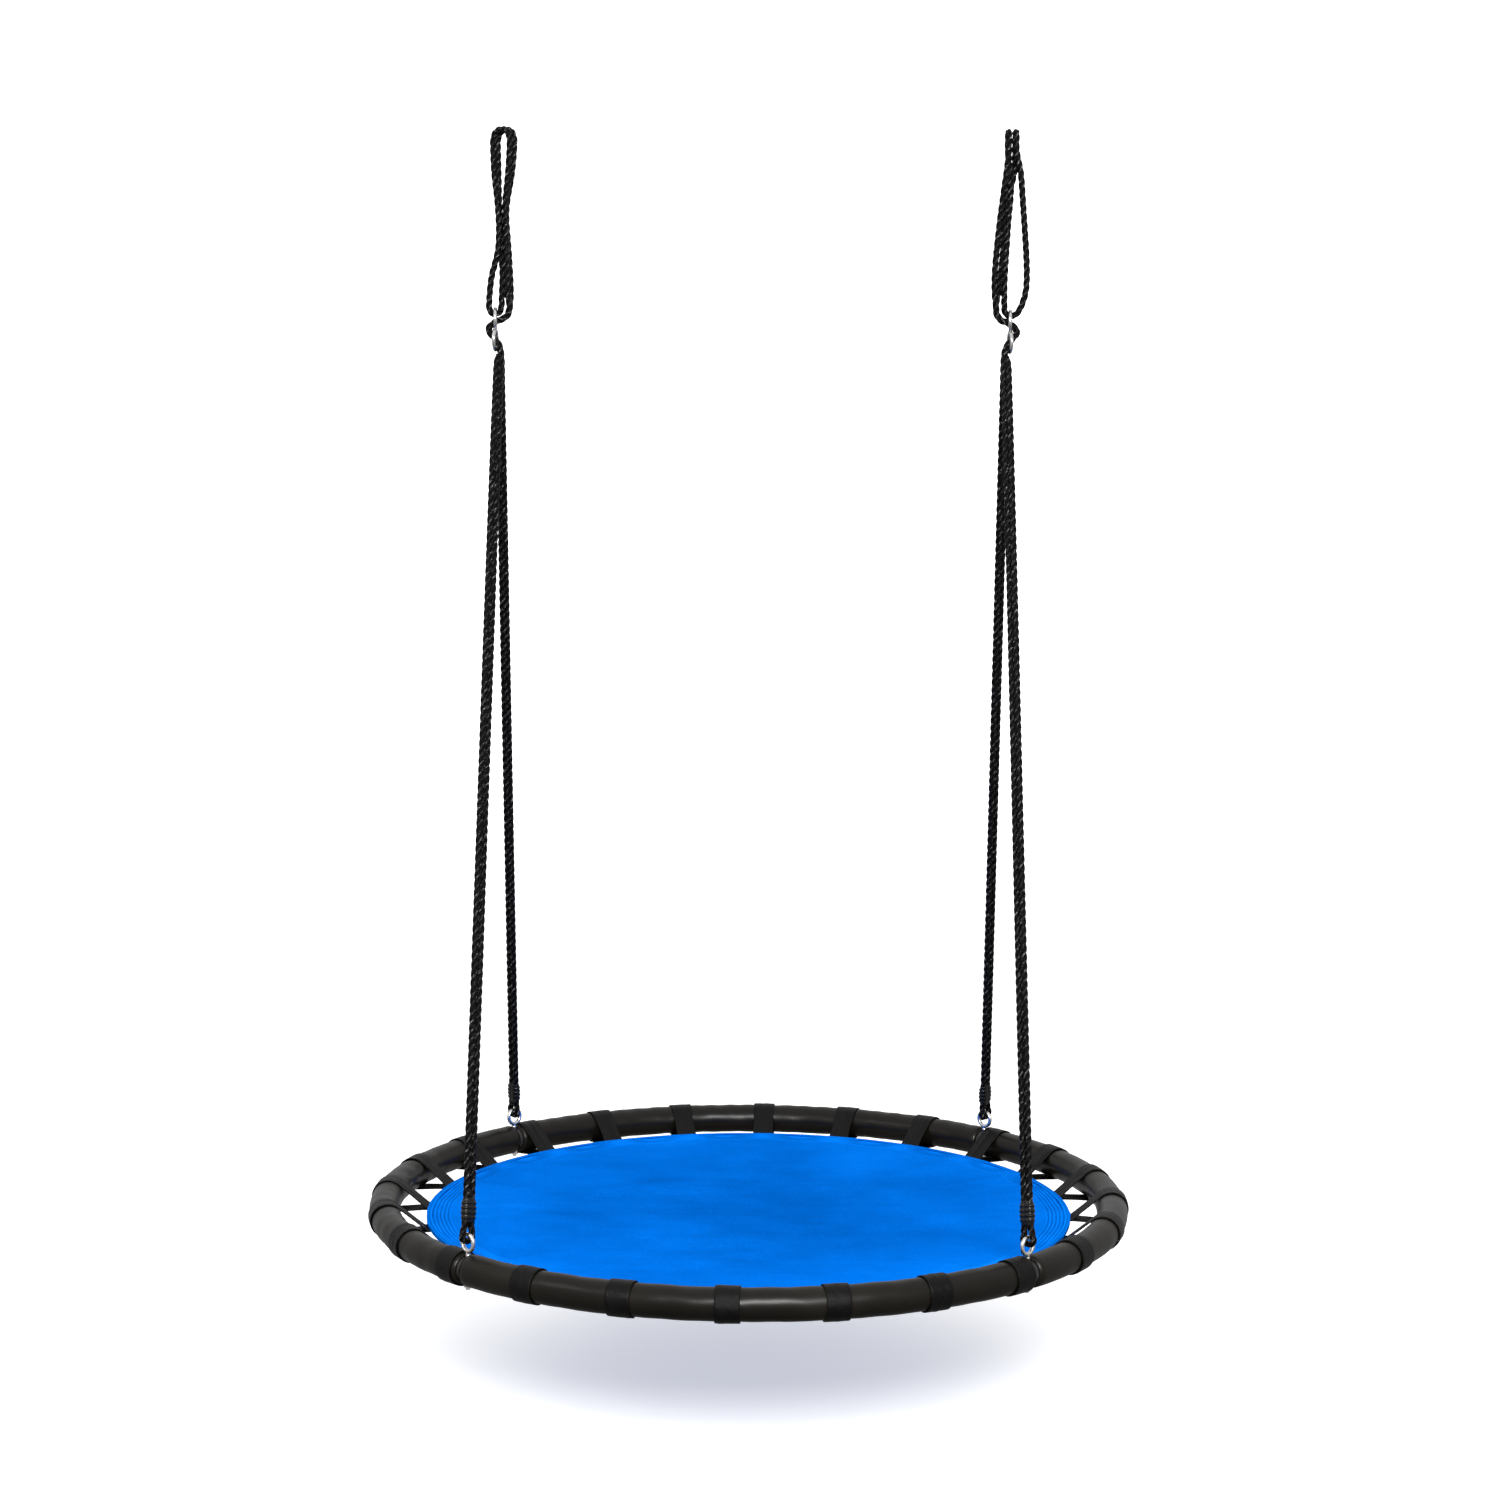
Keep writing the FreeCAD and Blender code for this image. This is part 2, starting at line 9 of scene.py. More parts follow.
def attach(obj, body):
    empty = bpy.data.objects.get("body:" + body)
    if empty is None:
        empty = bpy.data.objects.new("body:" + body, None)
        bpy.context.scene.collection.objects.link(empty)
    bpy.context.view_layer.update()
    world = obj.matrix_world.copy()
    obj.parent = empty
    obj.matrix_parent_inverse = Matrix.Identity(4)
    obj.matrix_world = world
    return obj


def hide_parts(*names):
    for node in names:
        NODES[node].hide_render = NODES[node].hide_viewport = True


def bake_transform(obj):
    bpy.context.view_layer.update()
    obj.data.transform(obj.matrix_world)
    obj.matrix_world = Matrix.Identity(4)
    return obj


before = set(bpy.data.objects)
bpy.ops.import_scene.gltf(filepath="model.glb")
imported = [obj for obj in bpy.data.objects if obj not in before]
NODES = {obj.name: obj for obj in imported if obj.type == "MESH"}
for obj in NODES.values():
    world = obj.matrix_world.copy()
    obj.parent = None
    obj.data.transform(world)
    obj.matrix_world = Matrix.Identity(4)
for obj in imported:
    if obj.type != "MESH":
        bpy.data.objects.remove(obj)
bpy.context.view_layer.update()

scene = bpy.context.scene
col = scene.collection

# ------------------------------------------------------------------ sizes shared with the CAD, in metres
H = 1.394            # ring plane below the hanging points
R = 0.480            # ring centreline
LX = 0.332           # adjuster plane from the middle
LD = 0.249           # adjuster centre below the hanging points
OFF = 0.00415        # half spacing of ropes side by side
HI = 0.0065          # hanging point inboard of the adjuster plane
ROPE = 0.0088        # laid rope over its strands


# ------------------------------------------------------------------ camera first
cam_data = bpy.data.cameras.new("Camera")
cam = bpy.data.objects.new("Camera", cam_data)
col.objects.link(cam)
cam_data.sensor_width = 36.0
cam_data.lens = 2917.55 / 1500 * 36
cam_data.clip_end = 60
cam.location = (0.00804, -3.79824, 0.98709 - H)
pitch, yaw, roll = math.radians(-5.8018), math.radians(0.13437), math.radians(0.27506)
fwd = Vector((-math.sin(yaw) * math.cos(pitch), math.cos(yaw) * math.cos(pitch), math.sin(pitch)))
right = Vector((math.cos(yaw), math.sin(yaw), 0))
up = right.cross(fwd)
r2 = right * math.cos(roll) + up * math.sin(roll)
u2 = -right * math.sin(roll) + up * math.cos(roll)
cam.rotation_euler = Matrix((r2, u2, -fwd)).transposed().to_euler()
scene.camera = cam


# ------------------------------------------------------------------ small helpers
def new_mesh(name, verts, faces, mat=None, smooth=True, uvs=None):
    me = bpy.data.meshes.new(name)
    me.from_pydata([tuple(map(float, v)) for v in verts], [], [tuple(int(i) for i in f) for f in faces])
    if smooth:
        me.polygons.foreach_set("use_smooth", [True] * len(me.polygons))
    if uvs is not None:
        layer = me.uv_layers.new(name="UVMap")
        uv = np.asarray(uvs, np.float32)
        if len(uv) == len(me.vertices):
            loops = np.zeros(len(me.loops), np.int32)
            me.loops.foreach_get("vertex_index", loops)
            uv = uv[loops]
        layer.data.foreach_set("uv", uv.ravel())
    me.validate(verbose=False)
    me.update()
    ob = bpy.data.objects.new(name, me)
    col.objects.link(ob)
    if mat is not None:
        me.materials.append(mat)
    return ob


class Mat:
    """A node material: a Principled shader plus helpers."""

    def __init__(self, name, **vals):
        self.m = bpy.data.materials.new(name)
        self.m.use_nodes = True
        self.t = self.m.node_tree
        self.b = self.t.nodes["Principled BSDF"]
        for k, v in vals.items():
            self.b.inputs[k.replace("_", " ")].default_value = v

    def n(self, kind, **props):
        node = self.t.nodes.new(kind)
        for k, v in props.items():
            setattr(node, k, v)
        return node

    def link(self, a, b):
        self.t.links.new(a, b)

    def coords(self, which="Object", scale=(1, 1, 1), rot=(0, 0, 0)):
        c = self.n("ShaderNodeTexCoord")
        m = self.n("ShaderNodeMapping")
        m.inputs["Scale"].default_value = scale
        m.inputs["Rotation"].default_value = rot
        self.link(c.outputs[which], m.inputs["Vector"])
        return m.outputs["Vector"]

    def noise(self, vec, scale, detail=4, rough=0.6, distortion=0.0):
        t = self.n("ShaderNodeTexNoise")
        t.inputs["Scale"].default_value = scale
        t.inputs["Detail"].default_value = detail
        t.inputs["Roughness"].default_value = rough
        t.inputs["Distortion"].default_value = distortion
        self.link(vec, t.inputs["Vector"])
        return t.outputs["Fac"]

    def ramp(self, fac, stops, linear=True):
        r = self.n("ShaderNodeValToRGB")
        e = r.color_ramp.elements
        while len(e) < len(stops):
            e.new(0.5)
        for el, (p, c) in zip(e, stops):
            el.position = p
            el.color = (*c, 1) if len(c) == 3 else c
        self.link(fac, r.inputs["Fac"])
        return r.outputs["Color"]

    def maprange(self, fac, a, b, c, d):
        r = self.n("ShaderNodeMapRange")
        for k, v in (("From Min", a), ("From Max", b), ("To Min", c), ("To Max", d)):
            r.inputs[k].default_value = v
        self.link(fac, r.inputs["Value"])
        return r.outputs["Result"]

    def math(self, op, a, b=None, c=None):
        m = self.n("ShaderNodeMath", operation=op)
        for i, v in enumerate((a, b, c)):
            if v is None:
                continue
            if isinstance(v, (int, float)):
                m.inputs[i].default_value = v
            else:
                self.link(v, m.inputs[i])
        return m.outputs[0]

    def bump(self, height, strength, distance, normal=None):
        b = self.n("ShaderNodeBump")
        b.inputs["Strength"].default_value = strength
        b.inputs["Distance"].default_value = distance
        self.link(height, b.inputs["Height"])
        if normal is not None:
            self.link(normal, b.inputs["Normal"])
        return b.outputs["Normal"]

    def out(self, **links):
        for k, v in links.items():
            self.link(v, self.b.inputs[k.replace("_", " ")])
        return self


# ------------------------------------------------------------------ rope material
def rope_material():
    m = Mat("rope_black_pe", Roughness=0.34)
    m.b.inputs["Specular IOR Level"].default_value = 0.07
    # filaments lie along each strand; the short streaks where they would catch the light are painted glints in the base
    # colour
    f = m.noise(m.coords("UV", (46, 2.2, 1), (0, 0, math.radians(3))), 5.0, 3, 0.7)
    streak = m.noise(m.coords("UV", (8.5, 3.4, 1), (0, 0, math.radians(-12))), 2.0, 2.5, 0.62)
    sep = m.n("ShaderNodeSeparateXYZ")
    m.link(m.coords("UV"), sep.inputs[0])
    # 1 on the top of a strand, 0 in the groove between two: painted highlight on the strand tops, painted shade in the
    # grooves
    crown_highlight = m.maprange(m.math("COSINE", m.math("MULTIPLY", sep.outputs[0], 2 * math.pi * 3)), -0.35, 0.9, 0.0, 1.0)
    painted_glint = m.math("MULTIPLY", m.maprange(streak, 0.54, 0.68, 0.0, 1.0), crown_highlight)
    painted_glint = m.math("MULTIPLY", painted_glint, m.maprange(f, 0.34, 0.6, 0.45, 1.25))
    painted_glint_tone = m.math("ADD", m.math("MULTIPLY", painted_glint, 0.8), m.math("MULTIPLY", m.math("MULTIPLY", f, crown_highlight), 0.2))
    # base colour: near black in the grooves, painted glints up to pale grey on the strand tops
    m.out(Base_Color=m.ramp(painted_glint_tone, [(0.0, (0.0008, 0.0008, 0.0009)), (0.12, (0.0035, 0.0034, 0.0036)), (0.45, (0.085, 0.083, 0.085)), (1.0, (0.34, 0.33, 0.335))]))
    m.out(Roughness=m.maprange(f, 0.3, 0.7, 0.28, 0.46))
    m.out(Normal=m.bump(f, 0.6, 0.0006))
    return m.m


ROPE_MAT = rope_material()


# ------------------------------------------------------------------ laid rope along a route
def route(pts):
    """The smooth centreline of a route: a NURBS spline with the route's points as control points."""
    cu = bpy.data.curves.new("route", "CURVE")
    cu.dimensions = "3D"
    cu.resolution_u = 32
    sp = cu.splines.new("NURBS")
    sp.points.add(len(pts) - 1)
    for p, q in zip(sp.points, pts):
        p.co = (q[0], q[1], q[2], 1.0)
    sp.order_u = 3
    sp.use_endpoint_u = True
    ob = bpy.data.objects.new("route", cu)
    col.objects.link(ob)
    bpy.context.view_layer.update()
    me = bpy.data.meshes.new_from_object(ob)
    P = np.array([v.co[:] for v in me.vertices], float)
    bpy.data.objects.remove(ob)
    bpy.data.curves.remove(cu)
    bpy.data.meshes.remove(me)
    return P


def strand_profile(diameter, n=36):
    """Outline of three strands laid and pressed together, as radii at even angles."""
    s = 0.60 * diameter / 2                        # strand radius
    c = diameter / 2 - s                           # strand centres
    out = []
    for k in range(n):
        a = 2 * math.pi * k / n
        d = (a + math.pi / 3) % (2 * math.pi / 3) - math.pi / 3
        out.append((a, c * math.cos(d) + math.sqrt(max(s * s - (c * math.sin(d)) ** 2, 0))))
    return out


def from_x(tan):
    x = np.array([1.0, 0, 0])
    v = x - tan * x.dot(tan)
    return v / np.linalg.norm(v)


def laid_rope(name, pts, phase=0.0, end_phase=None, diameter=ROPE, lay=0.0335, taper=0.0, step=0.0016):
    """Right-laid three-strand rope. phase is measured from the row's X at the start; the one at the end comes back."""
    P = route(pts)
    seg = np.linalg.norm(np.diff(P, axis=0), axis=1)
    P = P[np.r_[True, seg > 1e-9]]
    s = np.r_[0, np.cumsum(np.linalg.norm(np.diff(P, axis=0), axis=1))]
    L = s[-1]
    n = max(8, int(round(L / step)))
    t = np.linspace(0, L, n + 1)
    C = np.stack([np.interp(t, s, P[:, i]) for i in range(3)], 1)
    T = np.gradient(C, axis=0)
    T /= np.linalg.norm(T, axis=1)[:, None]
    N = np.zeros_like(C)
    N[0] = from_x(T[0])
    for i in range(1, len(C)):
        v = N[i - 1] - T[i] * N[i - 1].dot(T[i])
        N[i] = v / np.linalg.norm(v)
    B = np.cross(T, N)
    e = from_x(T[-1])
    off = math.atan2(float(np.cross(e, N[-1]).dot(T[-1])), float(e.dot(N[-1])))
    turns = 2 * math.pi * L / lay
    if end_phase is not None:
        third = 2 * math.pi / 3
        turns += (end_phase - (phase + turns + off) + third / 2) % third - third / 2
    prof = strand_profile(diameter)
    m = len(prof)
    ang = np.array([p[0] for p in prof])
    rad = np.array([p[1] for p in prof])
    twist = phase + turns * t / L
    verts = []
    for i in range(len(C)):
        k = 1.0
        if taper and L - t[i] < taper:
            q = 1 - (L - t[i]) / taper
            k = 1 - 0.72 * q * q
        a = ang + twist[i]
        verts.append(C[i] + k * rad[:, None] * (np.cos(a)[:, None] * N[i] + np.sin(a)[:, None] * B[i]))
    verts = np.concatenate(verts)
    faces, fuv = [], []
    for i in range(len(C) - 1):
        for k in range(m):
            k2 = (k + 1) % m
            faces.append((i * m + k, i * m + k2, (i + 1) * m + k2, (i + 1) * m + k))
            u0, u1 = k / m, (k + 1) / m
            v0, v1 = t[i] / lay, t[i + 1] / lay
            fuv += [(u0, v0), (u1, v0), (u1, v1), (u0, v1)]
    # each end is closed by its own ring and centre, so the strands' shading runs on across a joint
    for end, first in ((0, 0), (1, (len(C) - 1) * m)):
        start = len(verts)
        verts = np.vstack([verts, verts[first:first + m], C[0] if end == 0 else C[-1]])
        for k in range(m):
            k2 = (k + 1) % m
            faces.append((start + m, start + k2, start + k) if end == 0 else (start + m, start + k, start + k2))
            fuv += [(0.5, 0), (0.5, 0), (0.5, 0)]
    ob = new_mesh(name, verts, faces, ROPE_MAT, True, fuv)
    ob["length"] = float(L)
    return ob, P, phase + turns + off


UPS = {"left": [[(20.6, -12.8, -19), (17.9, -8.8, -54), (13.2, -4.3, -90), (14.2, -4.2, -117), (14.8, -4.2, -142), (14.6, -4.0, -165),
                 (14.5, -4.0, -180), (15.6, -4.15, -204), (19.0, -4.15, -216.5)],
                [(25.9, -6.5, -19), (22.1, -1.6, -54), (14.2, 4.5, -90), (14.4, 4.3, -117), (17.0, 4.2, -142), (18.2, 4.2, -165),
                 (19.2, 4.2, -180), (20.0, 4.15, -204), (19.0, 4.15, -216.5)]],
       "right": [[(5.5, -8.0, -4), (5.5, -8.0, -22), (7.5, -6.5, -45), (11.5, -5.0, -75), (15.3, -4.2, -107), (19.2, -4.15, -144),
                  (21.6, -4.15, -181), (20.8, -4.15, -204), (19.0, -4.15, -216.5)],
                 [(-4.0, 8.0, -4), (-4.0, 8.0, -22), (-4.0, 8.0, -45), (3.5, 6.5, -75), (8.0, 4.9, -107), (10.0, 4.8, -144),
                  (12.5, 4.9, -181), (16.5, 4.6, -204), (19.0, 4.15, -216.5)]]}
DOWNS = {"left": [[(-2.4, 6.5, -19), (-0.6, 1.2, -54), (4.6, -4.2, -90), (5.6, -4.2, -117), (6.0, -4.2, -142), (0.5, -3.6, -165),
                   (-4.2, -3.0, -180), (-7.2, -1.8, -204), (-8.4, -0.6, -229.35)],
                  [(3.0, 12.8, -19), (4.2, 8.8, -54), (4.9, 4.5, -90), (5.9, 4.4, -117), (7.6, 4.6, -142), (8.8, 4.2, -165),
                   (9.4, 3.8, -180), (8.6, 1.8, -204), (7.8, 0.6, -229.35)]],
         "right": [[(-4.0, -8.0, -4), (-4.0, -8.0, -22), (-10.5, -6.0, -45), (-13.0, -4.0, -75), (-15.8, -2.5, -107), (-19.0, -1.5, -144),
                    (-20.8, -1.2, -181), (-19.0, -0.8, -204), (-8.4, -0.6, -229.35)],
                   [(5.5, 8.0, -4), (5.5, 8.0, -22), (2.6, 1.5, -45), (1.3, -2.6, -75), (4.8, -3.8, -107), (6.5, -3.8, -144),
                    (8.6, -3.4, -181), (8.4, -1.8, -204), (7.8, 0.6, -229.35)]]}
CUT_UP = {"left": (3, 5), "right": (4, 5)}      # the route point at which one piece of rope hands over to the next
CUT_DOWN = {"left": (3, 3), "right": (4, 5)}
CLAMPS = []

for side, sx in (("left", -1.0), ("right", 1.0)):
    def P3(u, y, z, sx=sx):
        return Vector((sx * (LX - u / 1000), y / 1000, z / 1000))
    LDm, O = LD * 1000, OFF * 1000
    # the straight run of each leg, as in the CAD
    legs = {}
    for fb, sy in (("front", -1.0), ("back", 1.0)):
        er = Vector((sx, sy, 0)).normalized()
        wire = Vector((er.x * R, er.y * R, -H + 0.0332 + 0.0104))
        live = P3(7.6, sy * O, -LDm - 34)
        axis_top = live + er * OFF
        d = (axis_top - wire).normalized()
        e = (er - d * er.dot(d)).normalized()
        L = (live + e * OFF - wire).dot(d)
        legs[fb] = (wire, d, e, L, live, sy, er)
        CLAMPS.append((fb, side, wire, d, e))
    # ropes through the adjuster and up one side of the loop
    phase, made = {}, {}
    for k, (fb, (wire, d, e, L, live, sy, er)) in enumerate(legs.items()):
        y = sy * O
        line = UPS[side][k]
        pts = [live - d * 0.085, live - d * 0.034, P3(7.6, y, -LDm - 24), P3(0, y, -LDm - 12.3), P3(-11.3, y, -LDm - 0.6),
               P3(0, y, -LDm + 10.2), P3(13.0, y, -LDm + 14.2), P3(18.0, y, -LDm + 22)]
        pts += [P3(*q) for q in line[:CUT_UP[side][k] - 1:-1]]
        ob, path, ph = laid_rope("rope_up_%s_%s" % (fb, side), pts, 0.4)
        made["up_" + fb] = ob
        phase[fb] = ph
        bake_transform(ob)
    # over the hook
    for k, fb in enumerate(("front", "back")):
        line = UPS[side][k]
        if side == "left":
            to = k
            turn = math.radians(-40)
            yy = (-O, O)[k]
            cu, cy = 11.75 - yy * math.sin(turn), yy * math.cos(turn)

            def A3(off, z):
                return P3(cu + off * math.cos(turn), cy + off * math.sin(turn), z)
            over = [A3(15.0, -5.0), A3(8.5, 4.6), A3(-8.5, 4.6), A3(-15.0, -5.0)]
        else:
            to = 1 - k
            x_top = (5.5, -4.0)[k]
            s_ = (1, -1)[k]
            over = [P3(x_top, -8.0 * s_, 4.0), P3(x_top, 8.0 * s_, 4.0)]
        upper, lower = line[CUT_UP[side][k]::-1], DOWNS[side][to][:CUT_DOWN[side][to] + 1]
        pts = [P3(*q) for q in upper] + over + [P3(*q) for q in lower]
        ob, path, ph = laid_rope("rope_over_%s_%s" % (fb, side), pts, phase[fb], step=0.0013)
        made["over_" + fb] = ob
        phase["down%d" % to] = ph
        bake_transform(ob)
    # down, under the adjuster's wire and up again
    down, back = DOWNS[side]
    pts = [P3(*q) for q in down[CUT_DOWN[side][0]:]] + [P3(*q) for q in back[:CUT_DOWN[side][1] - 1:-1]]
    ob, path, ph = laid_rope("rope_hook_" + side, pts, phase["down0"], end_phase=-phase["down1"], step=0.0013)
    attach(ob, "rope_loops")
    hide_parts("rope_loop_" + side)
    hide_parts("rope_hitch_" + side)
    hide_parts("rope_bight_" + side)
    # legs
    for fb, (wire, d, e, L, live, sy, er) in legs.items():
        et = Vector((-er.y, er.x, 0))

        def Q(w, s):
            return wire + e * (w / 1000) + d * (s / 1000)

        def B3(w, s):
            q = Q(w, s)
            return q - et * (q - wire).dot(et)
        bend = 14 - 3.2
        pts = [live - d * 0.085, Q(-O, bend + 50), Q(-O, bend), B3(-9.9, -8.1), B3(9.9, -8.1), Q(O, bend), Q(O, bend + 50),
               Q(O, L * 1000 - 50), Q(O - 1.6, L * 1000 + 1)]
        ob, path, ph = laid_rope("rope_leg_%s_%s.rope" % (fb, side), pts, -0.4, taper=0.016)
        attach(ob, side + "_hanger")
        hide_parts("rope_leg_%s_%s" % (fb, side))


# ------------------------------------------------------------------ materials
def sleeve_material():
    m = Mat("sleeve_foam_black", Roughness=0.35)
    m.b.inputs["Specular IOR Level"].default_value = 0.22
    v = m.coords("Object")
    big = m.noise(v, 9, 3, 0.5)
    fine = m.noise(v, 900, 4, 0.65)
    pores = m.n("ShaderNodeTexVoronoi", feature="F1")
    pores.inputs["Scale"].default_value = 700
    m.link(v, pores.inputs["Vector"])
    mixf = m.math("ADD", m.math("MULTIPLY", big, 0.6), m.math("MULTIPLY", fine, 0.4))
    m.out(Base_Color=m.ramp(mixf, [(0.35, (0.0030, 0.0022, 0.0013)), (0.5, (0.0048, 0.0037, 0.0023)), (0.68, (0.0080, 0.0063, 0.0040))]))
    m.out(Roughness=m.maprange(big, 0.3, 0.7, 0.29, 0.38))
    h = m.math("ADD", m.math("MULTIPLY", fine, 0.5), m.math("MULTIPLY", pores.outputs["Distance"], 0.6))
    m.out(Normal=m.bump(h, 0.12, 0.0006, m.bump(big, 0.35, 0.004)))
    return m.m


def webbing_material():
    m = Mat("webbing_black", Roughness=0.34)
    m.b.inputs["Specular IOR Level"].default_value = 0.13
    # UV: u across the width in metres, v along in metres
    uv = m.coords("UV")
    sep = m.n("ShaderNodeSeparateXYZ")
    m.link(uv, sep.inputs[0])
    u, vv = sep.outputs[0], sep.outputs[1]
    rib_u = m.math("SINE", m.math("MULTIPLY", u, 2 * math.pi / 0.0014))
    rib_v = m.math("SINE", m.math("MULTIPLY", vv, 2 * math.pi / 0.0018))
    weave = m.math("MULTIPLY", rib_u, rib_v)
    wear = m.noise(m.coords("UV", (30, 8, 1)), 2.0, 4, 0.6)
    tone = m.math("ADD", m.math("MULTIPLY", wear, 0.7), m.math("MULTIPLY", m.maprange(weave, -1, 1, 0, 1), 0.3))
    m.out(Base_Color=m.ramp(tone, [(0.30, (0.0008, 0.0008, 0.0008)), (0.55, (0.0022, 0.0021, 0.002)), (0.8, (0.0075, 0.0071, 0.0067))]))
    m.out(Roughness=m.maprange(wear, 0.3, 0.7, 0.28, 0.5))
    m.out(Normal=m.bump(weave, 0.30, 0.0004, m.bump(wear, 0.5, 0.003)))
    return m.m


RIDGE0, RIDGE = 0.4195, 0.0050      # outermost ridge of the mat's rim, and the pitch inwards


def mat_material():
    m = Mat("mat_blue_fabric", Roughness=0.6)
    m.b.inputs["Specular IOR Level"].default_value = 0.0
    v = m.coords("Object")
    sep = m.n("ShaderNodeSeparateXYZ")
    m.link(v, sep.inputs[0])
    x, y = sep.outputs[0], sep.outputs[1]
    rad = m.math("SQRT", m.math("ADD", m.math("MULTIPLY", x, x), m.math("MULTIPLY", y, y)))
    # plain weave of coated yarn
    wx = m.math("SINE", m.math("MULTIPLY", x, 2 * math.pi / 0.0021))
    wy = m.math("SINE", m.math("MULTIPLY", y, 2 * math.pi / 0.0021))
    weave = m.math("MULTIPLY", wx, wy)
    cloud = m.noise(v, 5.5, 4, 0.55)
    fine = m.noise(v, 260, 3, 0.6)
    # rows of stitching gather the rim into fine ridges
    zone = m.math("MULTIPLY", m.maprange(rad, 0.3925, 0.3955, 0.0, 1.0), m.maprange(rad, 0.4215, 0.4235, 1.0, 0.0))
    wave = m.math("COSINE", m.math("MULTIPLY", m.math("SUBTRACT", rad, RIDGE0), 2 * math.pi / RIDGE))
    ridge_painted_light = m.math("MULTIPLY", wave, zone)
    ang = m.math("ARCTAN2", y, x)
    dash = m.math("GREATER_THAN", m.math("SINE", m.math("MULTIPLY", ang, 620.0)), -0.4)
    thread = m.math("MULTIPLY", m.maprange(wave, -0.80, -0.98, 0.0, 1.0), m.math("MULTIPLY", zone, dash))
    rim = m.maprange(rad, 0.08, 0.40, 0.0, 1.0)
    drawn = m.noise(m.coords("Object", (2.2, 15, 1), (0, 0, math.radians(28))), 2.6, 5, 0.68, 0.6)
    crease_and_highlight = m.maprange(m.math("ABSOLUTE", m.math("SUBTRACT", drawn, 0.5)), 0.0, 0.022, 1.0, 0.0)
    crease_and_highlight = m.math("MULTIPLY", crease_and_highlight, m.maprange(cloud, 0.42, 0.62, 0.0, 1.0))
    tone = m.math("ADD", m.math("MULTIPLY", cloud, 0.58), m.math("MULTIPLY", fine, 0.27))
    tone = m.math("ADD", tone, m.math("MULTIPLY", drawn, 0.15))
    # painted highlight: the crease lines are made lighter in the base colour, on top of their bump
    tone = m.math("ADD", tone, m.math("MULTIPLY", crease_and_highlight, 0.10))
    # painted highlight on the rim ridges' crests and painted shade in the hollows between them
    tone = m.math("ADD", tone, m.math("MULTIPLY", ridge_painted_light, 0.30))
    tone = m.math("ADD", tone, m.maprange(rim, 0.0, 1.0, -0.17, 0.02))
    base = m.ramp(tone, [(0.25, (0.0002, 0.092, 0.43)), (0.5, (0.0004, 0.143, 0.66)), (0.75, (0.0012, 0.198, 0.87))])
    mixc = m.n("ShaderNodeMix", data_type="RGBA")
    m.link(m.math("MULTIPLY", thread, 0.22), mixc.inputs[0])
    m.link(base, mixc.inputs[6])
    mixc.inputs[7].default_value = (0.004, 0.30, 1.0, 1)
    m.out(Base_Color=mixc.outputs[2])
    m.out(Roughness=m.maprange(cloud, 0.3, 0.7, 0.5, 0.65))
    nrm = m.bump(weave, 0.16, 0.0003)
    nrm = m.bump(thread, 0.4, 0.0005, nrm)
    nrm = m.bump(crease_and_highlight, 0.35, 0.0012, nrm)
    m.out(Normal=nrm)
    return m.m


def zinc_material(name, base, rough):
    m = Mat(name, Metallic=1.0, Roughness=rough)
    v = m.coords("Object")
    big = m.noise(v, 160, 4, 0.6)
    fine = m.noise(m.coords("Object", (1, 1, 0.15)), 3000, 2, 0.5)
    m.out(Base_Color=m.ramp(big, [(0.3, tuple(c * 0.72 for c in base)), (0.6, base), (0.8, tuple(min(1, c * 1.1) for c in base))]))
    m.out(Roughness=m.maprange(big, 0.3, 0.7, rough * 0.8, rough * 1.4))
    m.out(Normal=m.bump(fine, 0.12, 0.0002))
    return m.m


def plastic_material():
    m = Mat("clamp_plastic_black", Roughness=0.2)
    m.b.inputs["Specular IOR Level"].default_value = 0.3
    v = m.coords("Object")
    big = m.noise(v, 120, 4, 0.6)
    fine = m.noise(v, 1800, 3, 0.6)
    m.out(Base_Color=m.ramp(big, [(0.3, (0.0015, 0.0015, 0.0016)), (0.7, (0.0045, 0.0044, 0.0044))]))
    m.out(Roughness=m.maprange(big, 0.3, 0.7, 0.16, 0.3))
    m.out(Normal=m.bump(fine, 0.15, 0.0003))
    return m.m


def painted_material():
    m = Mat("tube_black_coat", Roughness=0.35, Metallic=0.3)
    v = m.coords("Object")
    big = m.noise(v, 60, 4, 0.6)
    peel = m.noise(v, 1100, 3, 0.5)
    m.out(Base_Color=m.ramp(big, [(0.3, (0.03, 0.03, 0.032)), (0.7, (0.075, 0.075, 0.078))]))
    m.out(Roughness=m.maprange(big, 0.3, 0.7, 0.28, 0.45))
    m.out(Normal=m.bump(peel, 0.18, 0.0004))
    return m.m


SLEEVE = sleeve_material()
WEB = webbing_material()
MATM = mat_material()
ZINC = zinc_material("zinc_plate", (0.80, 0.80, 0.78), 0.24)
ZINC2 = zinc_material("zinc_wire", (0.78, 0.78, 0.77), 0.2)
PLASTIC = plastic_material()
TUBE = painted_material()


def dress(node, mat):
    o = NODES[node]
    o.data.materials.clear()
    o.data.materials.append(mat)
    o.data.polygons.foreach_set("material_index", [0] * len(o.data.polygons))


for n in NODES:
    if n.startswith("eye_bolt") or n in ("washers", "nuts"):
        dress(n, ZINC)
    elif n.startswith("adjuster"):
        dress(n, ZINC2)
    elif n.startswith("ring_tube"):
        dress(n, TUBE)

